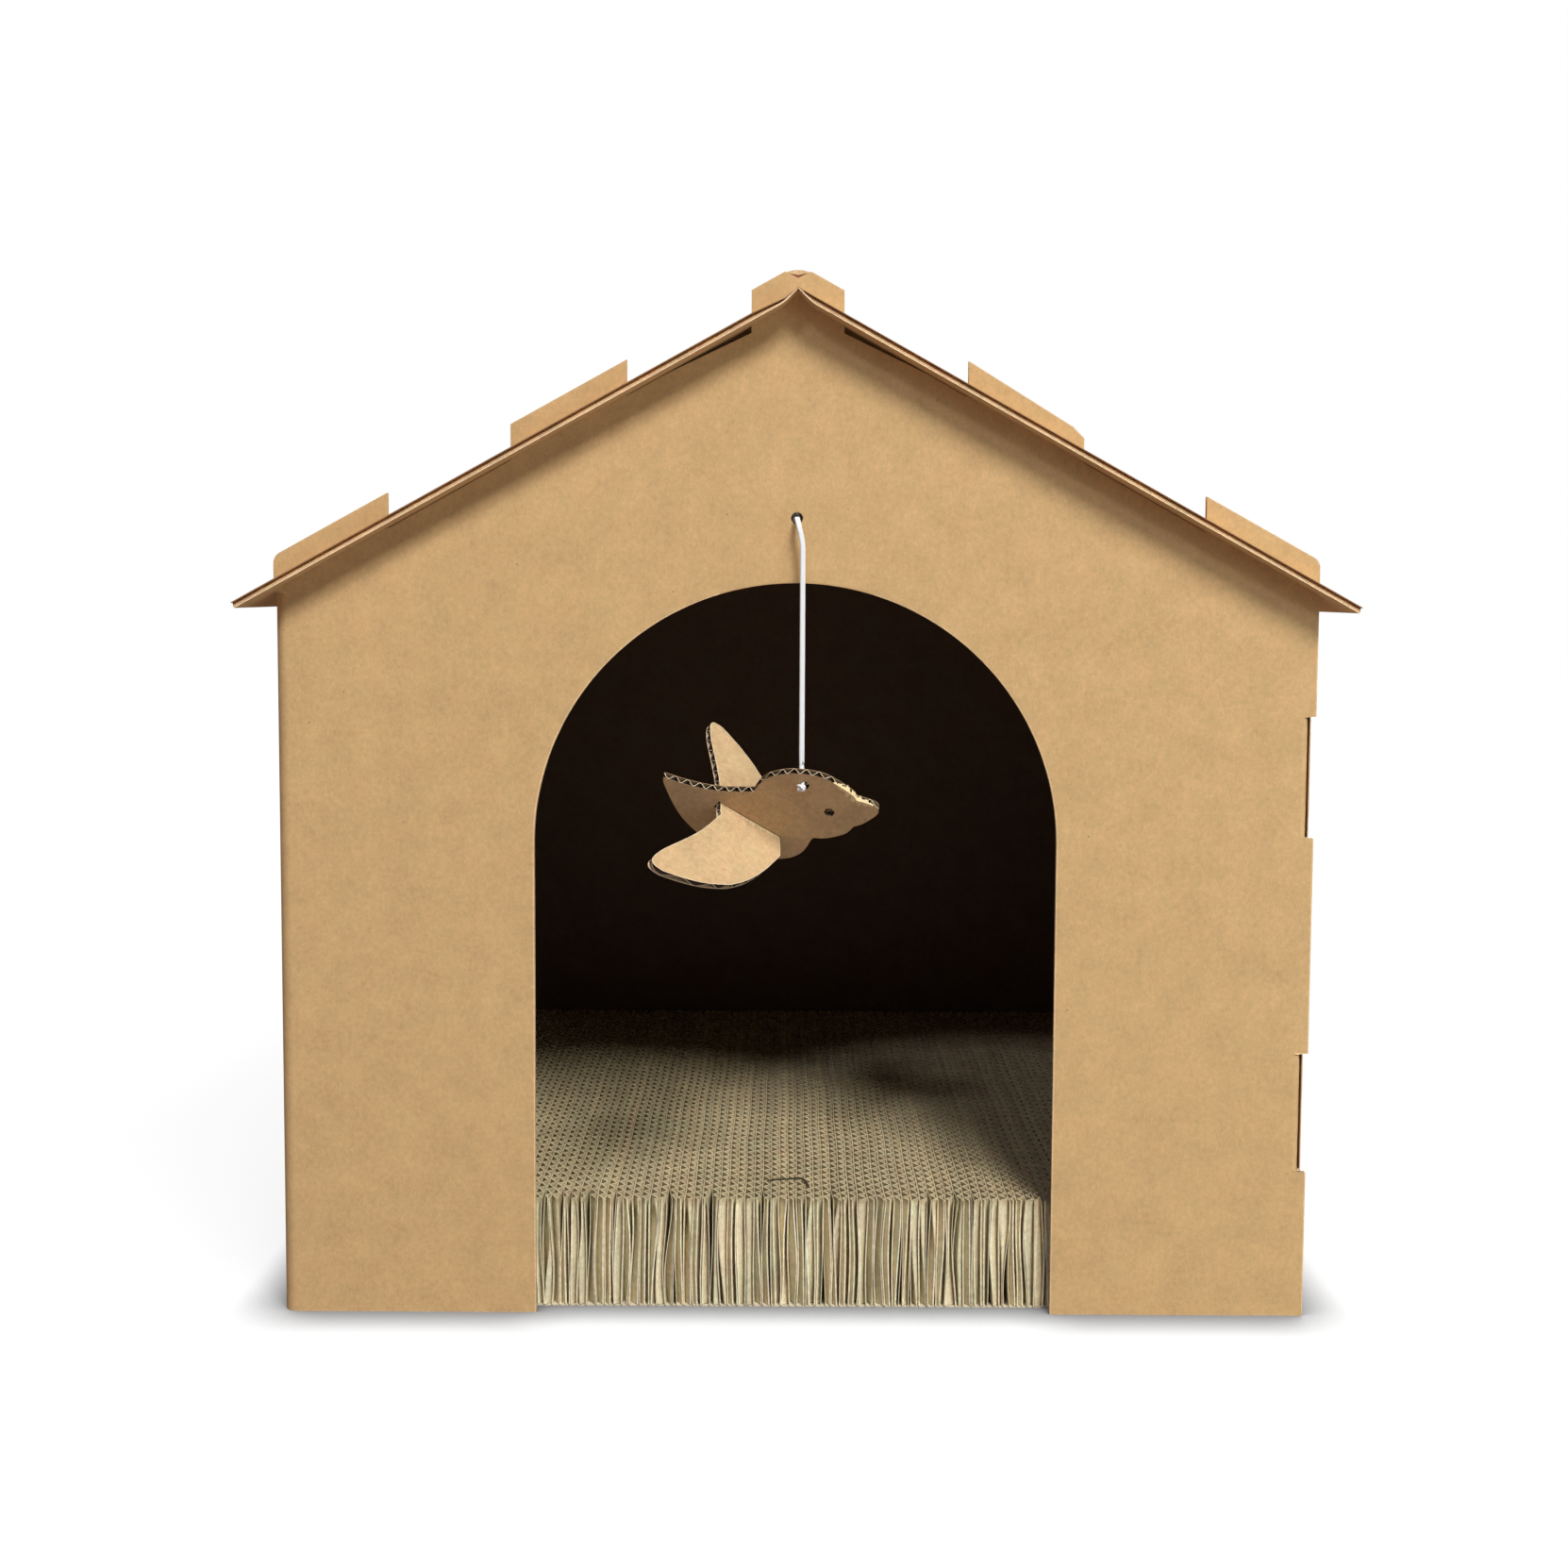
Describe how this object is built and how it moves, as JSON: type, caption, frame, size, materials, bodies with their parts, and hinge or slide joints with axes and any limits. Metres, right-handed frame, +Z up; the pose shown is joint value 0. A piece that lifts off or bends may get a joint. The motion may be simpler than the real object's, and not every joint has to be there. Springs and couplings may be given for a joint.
{
  "type": "cardboard cat house",
  "caption": "Flat-packed cardboard cat house: arched doorway, tabbed gable walls, creased roof sheet, corrugated scratching pad floor and a cut-out bird hanging on a string.",
  "frame": {"origin": "On the floor, in the middle of the walls' footprint, on the underside of the scratching pad's base sheet", "axes": "+Z up; -Y out through the doorway; +X along the front wall, to the right as seen from the front"},
  "size_m": [0.492, 0.4558, 0.4673],
  "materials": {
    "wall_board": "matte",
    "roof_board": "matte",
    "pad_board": "matte",
    "pad_paper": "matte",
    "toy_board": "matte",
    "white_string": "matte"
  },
  "bodies": {
    "house": {"front_sheet": "wall_board", "back_sheet": "wall_board", "string_knot_inside": "white_string"},
    "roof": {"roof_sheet": "roof_board"},
    "pad": {"scratch_pad": "pad_board", "pad_base_sheet": "pad_paper"},
    "string_top": {"string_bend": "white_string"},
    "string_hang": {"string_drop": "white_string"},
    "bird": {"bird_body": "toy_board", "bird_wings": "toy_board", "bird_knot": "white_string"}
  },
  "joints": [
    {"name": "roof_lift", "type": "slide", "parent": "house", "child": "roof", "axis": [0, 0, 1], "range_m": [0, 0.08]},
    {"name": "pad_lift", "type": "slide", "parent": "house", "child": "pad", "axis": [0, 0, 1], "range_m": [0, 0.12]},
    {"name": "toy_swing_sideways", "type": "hinge", "parent": "house", "child": "string_top", "pos_m": [0, -0.1978, 0.359], "axis": [0, -1, 0], "range_deg": [-20, 30]},
    {"name": "toy_swing_out", "type": "hinge", "parent": "string_top", "child": "string_hang", "pos_m": [0.0026, -0.2033, 0.3437], "axis": [-1, 0, 0], "range_deg": [-10, 60]},
    {"name": "bird_spin", "type": "hinge", "parent": "string_hang", "child": "bird", "pos_m": [0.0026, -0.2033, 0.2509], "axis": [0, 0, 1], "continuous": true}
  ]
}
